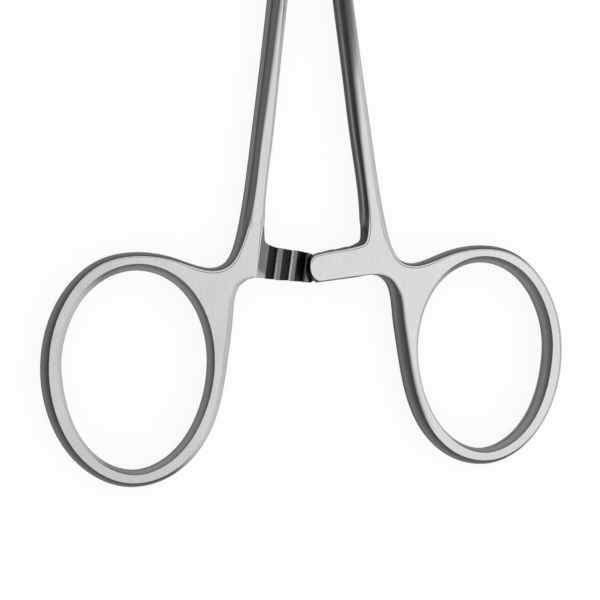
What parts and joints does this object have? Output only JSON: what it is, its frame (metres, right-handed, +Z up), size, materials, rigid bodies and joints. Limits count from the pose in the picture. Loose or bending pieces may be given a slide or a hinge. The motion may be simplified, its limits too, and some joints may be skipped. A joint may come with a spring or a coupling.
{
  "type": "needle holder",
  "caption": "Ring-handled surgical needle holder with a box lock, straight serrated jaws and a toothed ratchet between its shanks.",
  "frame": {"origin": "on the box lock's pivot axis, in the plane of its underside", "axes": "+Z up along the pivot through the instrument's thickness, +Y along the instrument towards the jaws, +X towards the ring of the male half"},
  "size_m": [0.078, 0.1305, 0.005],
  "materials": {
    "satin_steel": "satin, brushed flats and polished sides",
    "rivet_steel": "satin, ground flush"
  },
  "bodies": {
    "female": {"female_half": "satin_steel", "pivot_pin": "rivet_steel"},
    "male": {"male_half": "satin_steel"}
  },
  "joints": [
    {"name": "box_lock_hinge", "type": "hinge", "parent": "female", "child": "male", "pos_m": [0, 0, 0.0025], "axis": [0, 0, 1], "range_deg": [0, 45]}
  ]
}
